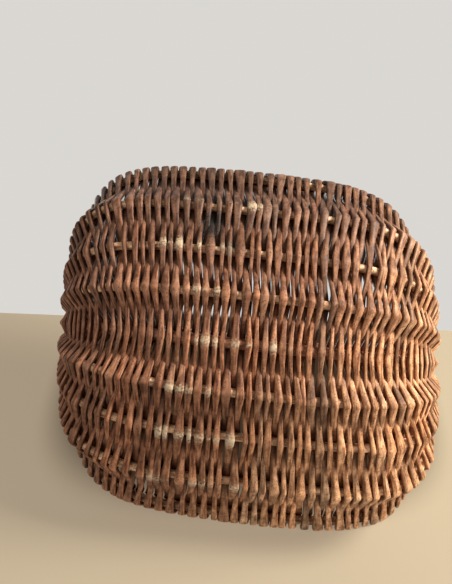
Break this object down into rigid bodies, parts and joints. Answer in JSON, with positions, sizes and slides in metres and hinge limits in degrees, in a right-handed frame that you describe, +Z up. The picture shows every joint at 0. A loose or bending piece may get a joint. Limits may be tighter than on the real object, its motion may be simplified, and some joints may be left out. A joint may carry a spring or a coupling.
{
  "type": "market basket",
  "caption": "Open willow basket on a frame of two crossed hoops and ribs, woven rim to rim, with a fixed overhead handle.",
  "frame": {"origin": "middle of the underside, on the surface that the basket stands on", "axes": "+X from the left ear to the right ear, along the handle; +Y across the basket to the back of the rim; +Z up from the worn underside to the handle"},
  "size_m": [0.485, 0.4686, 0.3585],
  "materials": {
    "handle_willow": "stout peeled willow rod, reddish brown, smoothed by handling",
    "rim_willow": "stout willow rod, dry and tan",
    "rib_willow": "willow rod, dry tan brown",
    "ear_willow": "wound willow, weathered brown",
    "weaver_brown": "buff willow rods, weathered dark brown",
    "weaver_chestnut": "buff willow rods, reddish chestnut with a dull sheen",
    "weaver_tan": "buff willow rods, orange tan with a dull sheen"
  },
  "bodies": {
    "root": {"handle_hoop": "handle_willow", "rim_hoop": "rim_willow", "ear_lashing_left": "ear_willow", "ear_lashing_right": "ear_willow", "rib_front_1": "rib_willow", "rib_front_2": "rib_willow", "rib_front_3": "rib_willow", "rib_back_1": "rib_willow", "rib_back_2": "rib_willow", "rib_back_3": "rib_willow", "weaver_01": "weaver_brown", "weaver_02": "weaver_brown", "weaver_03": "weaver_brown", "weaver_04": "weaver_brown", "weaver_05": "weaver_brown", "weaver_06": "weaver_brown", "weaver_07": "weaver_brown", "weaver_08": "weaver_brown", "weaver_09": "weaver_brown", "weaver_10": "weaver_brown", "weaver_11": "weaver_brown", "weaver_12": "weaver_brown", "weaver_13": "weaver_chestnut", "weaver_14": "weaver_chestnut", "weaver_15": "weaver_chestnut", "weaver_16": "weaver_chestnut", "weaver_17": "weaver_chestnut", "weaver_18": "weaver_chestnut", "weaver_19": "weaver_chestnut", "weaver_20": "weaver_chestnut", "weaver_21": "weaver_chestnut", "weaver_22": "weaver_chestnut", "weaver_23": "weaver_chestnut", "weaver_24": "weaver_chestnut", "weaver_25": "weaver_chestnut", "weaver_26": "weaver_tan", "weaver_27": "weaver_tan", "weaver_28": "weaver_tan", "weaver_29": "weaver_tan", "weaver_30": "weaver_tan", "weaver_31": "weaver_tan", "weaver_32": "weaver_tan", "weaver_33": "weaver_tan", "weaver_34": "weaver_tan", "weaver_35": "weaver_tan", "weaver_36": "weaver_tan", "weaver_37": "weaver_tan"}
  },
  "joints": []
}
